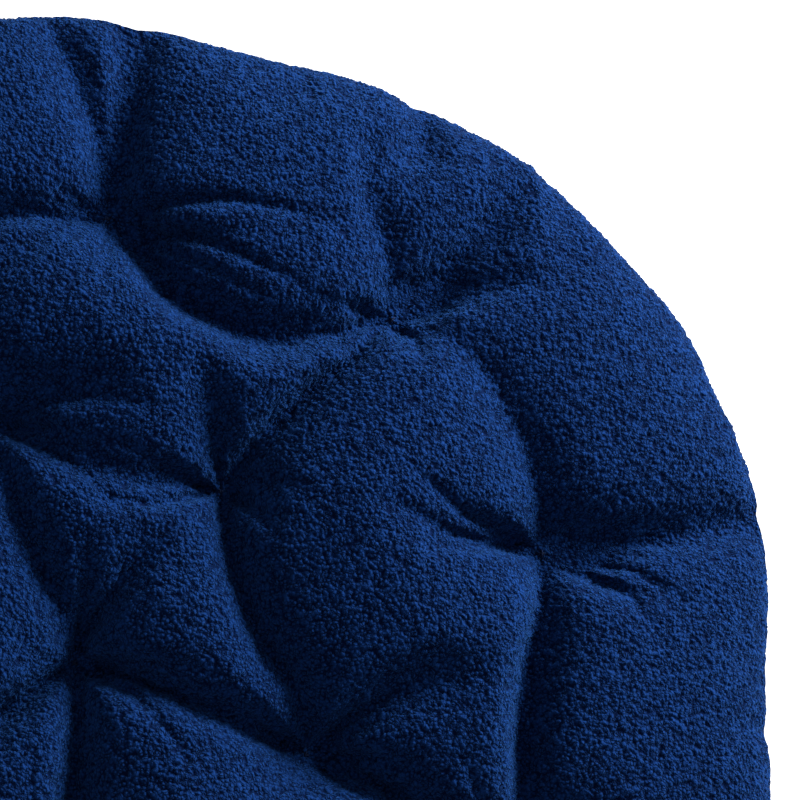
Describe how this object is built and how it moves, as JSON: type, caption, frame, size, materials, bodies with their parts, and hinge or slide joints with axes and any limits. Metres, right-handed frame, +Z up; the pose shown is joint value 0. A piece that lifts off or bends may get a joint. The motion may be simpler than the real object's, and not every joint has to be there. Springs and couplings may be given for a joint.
{
  "type": "round tufted cushion",
  "caption": "Large round tufted floor or bowl-chair cushion in deep-pile navy fleece, with a plain sewn rim and deep stitched pits.",
  "frame": {"origin": "on the floor under the centre of the round outline: the centre of the bounding box's bottom face", "axes": "+Z up through the thickness; +X and +Y span the round outline, and the cushion lies flat with its seam level"},
  "size_m": [1.12, 1.12, 0.151],
  "materials": {
    "navy_fleece": "matte",
    "white_fibre": "matte",
    "navy_thread": "matte",
    "navy_plastic": "satin"
  },
  "bodies": {
    "root": {"top_cover": "navy_fleece", "bottom_cover": "navy_fleece", "upper_fibre_batt": "white_fibre", "lower_fibre_batt": "white_fibre", "rim_seam_thread": "navy_thread", "closing_stitch": "navy_thread", "tuft_twine_01": "navy_thread", "tuft_twine_02": "navy_thread", "tuft_twine_03": "navy_thread", "tuft_twine_04": "navy_thread", "tuft_twine_05": "navy_thread", "tuft_twine_06": "navy_thread", "tuft_twine_07": "navy_thread", "tuft_twine_08": "navy_thread", "tuft_twine_09": "navy_thread", "tuft_twine_10": "navy_thread", "tuft_twine_11": "navy_thread", "tuft_twine_12": "navy_thread", "tuft_twine_13": "navy_thread", "tuft_twine_14": "navy_thread", "tuft_twine_15": "navy_thread", "tuft_twine_16": "navy_thread", "tuft_button_01": "navy_plastic", "tuft_button_02": "navy_plastic", "tuft_button_03": "navy_plastic", "tuft_button_04": "navy_plastic", "tuft_button_05": "navy_plastic", "tuft_button_06": "navy_plastic", "tuft_button_07": "navy_plastic", "tuft_button_08": "navy_plastic", "tuft_button_09": "navy_plastic", "tuft_button_10": "navy_plastic", "tuft_button_11": "navy_plastic", "tuft_button_12": "navy_plastic", "tuft_button_13": "navy_plastic", "tuft_button_14": "navy_plastic", "tuft_button_15": "navy_plastic", "tuft_button_16": "navy_plastic"}
  },
  "joints": []
}
